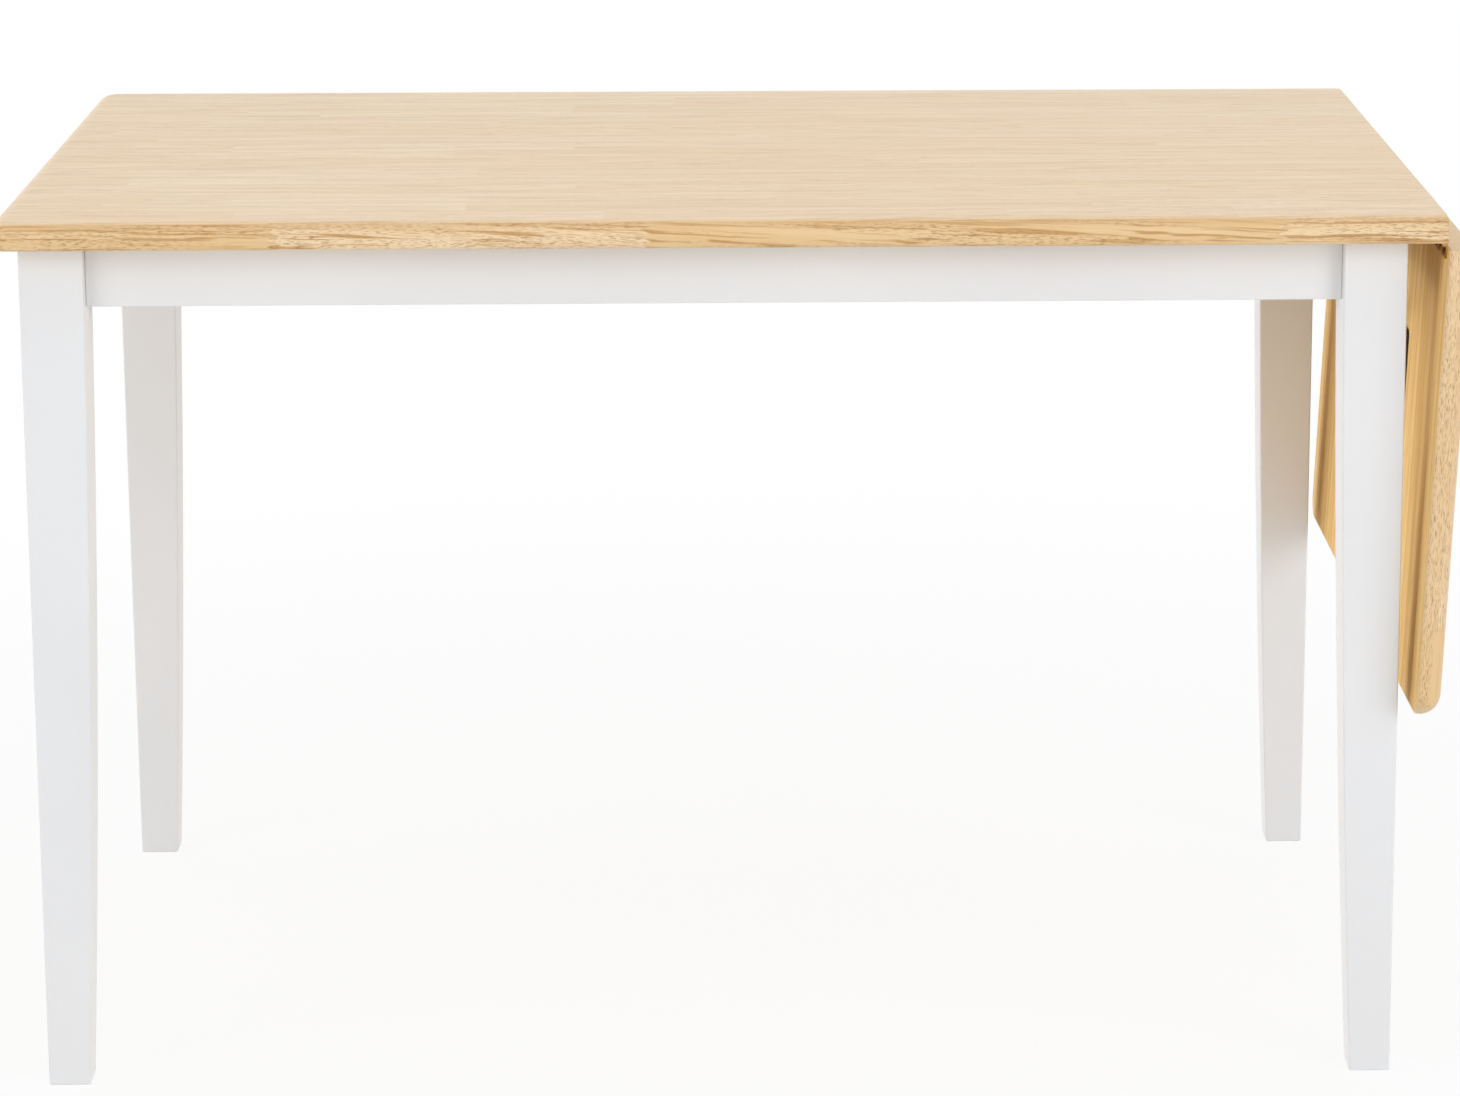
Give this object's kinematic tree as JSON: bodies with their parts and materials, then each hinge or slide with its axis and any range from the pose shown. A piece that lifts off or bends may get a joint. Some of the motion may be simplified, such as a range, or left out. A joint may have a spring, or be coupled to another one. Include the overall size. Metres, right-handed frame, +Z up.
{
  "type": "extending dining table",
  "caption": "Rectangular dining table with a wooden top, white tapered legs and aprons, and one end leaf that hangs on hinges and lifts level on slotted stays.",
  "frame": {"origin": "middle of the table's box on the floor, with the leaf hanging", "axes": "+X to the drop leaf, -Y to the front long side, +Z up"},
  "size_m": [1.2282, 0.755, 0.75],
  "materials": {
    "top_wood": "clear satin lacquer on edge-glued light hardwood",
    "white_paint": "satin white paint on hardwood",
    "brass": "dull brass",
    "black_steel": "black powder coat",
    "zinc_steel": "zinc plated"
  },
  "bodies": {
    "frame": {"apron_front": "white_paint", "apron_left": "white_paint", "apron_rear": "white_paint", "apron_right": "white_paint", "bolt_nuts": "zinc_steel", "bolt_washers": "zinc_steel", "corner_bracket_front_left": "zinc_steel", "corner_bracket_front_right": "zinc_steel", "corner_bracket_rear_left": "zinc_steel", "corner_bracket_rear_right": "zinc_steel", "corner_bracket_screws": "zinc_steel", "fixed_top": "top_wood", "hinge_pin_front": "brass", "hinge_pin_middle": "brass", "hinge_pin_rear": "brass", "hinge_top_plate_front": "brass", "hinge_top_plate_middle": "brass", "hinge_top_plate_rear": "brass", "hinge_top_screws": "brass", "leg_bolts": "zinc_steel", "leg_front_left": "white_paint", "leg_front_right": "white_paint", "leg_rear_left": "white_paint", "leg_rear_right": "white_paint", "stay_carrier_front": "black_steel", "stay_carrier_rear": "black_steel", "stay_carrier_screws": "black_steel", "stay_stud_front": "black_steel", "stay_stud_rear": "black_steel", "top_angle_screws": "zinc_steel", "top_angles": "zinc_steel"},
    "leaf": {"drop_leaf": "top_wood", "hinge_leaf_plate_front": "brass", "hinge_leaf_plate_middle": "brass", "hinge_leaf_plate_rear": "brass", "hinge_leaf_screws": "brass", "stay_leaf_plate_front": "black_steel", "stay_leaf_plate_rear": "black_steel", "stay_leaf_screws": "black_steel", "stay_rivet_front": "black_steel", "stay_rivet_rear": "black_steel"},
    "stay_arm_front": {"stay_arm_front": "black_steel"},
    "stay_arm_rear": {"stay_arm_rear": "black_steel"}
  },
  "joints": [
    {"name": "leaf_hinge", "type": "hinge", "parent": "frame", "child": "leaf", "pos_m": [0.58967, 0, 0.7254], "axis": [0, -1, 0], "range_deg": [0, 92.8]},
    {"name": "stay_pivot_front", "type": "hinge", "parent": "leaf", "child": "stay_arm_front", "pos_m": [0.57565, -0.12275, 0.62096], "axis": [0, -1, 0], "range_deg": [-46.5, 0]},
    {"name": "stay_pivot_rear", "type": "hinge", "parent": "leaf", "child": "stay_arm_rear", "pos_m": [0.57565, 0.12275, 0.62096], "axis": [0, -1, 0], "range_deg": [-46.5, 0]}
  ],
  "couplings": [
    {"joint": "stay_pivot_front", "follows": "leaf_hinge", "ratio": -0.5},
    {"joint": "stay_pivot_rear", "follows": "leaf_hinge", "ratio": -0.5}
  ]
}
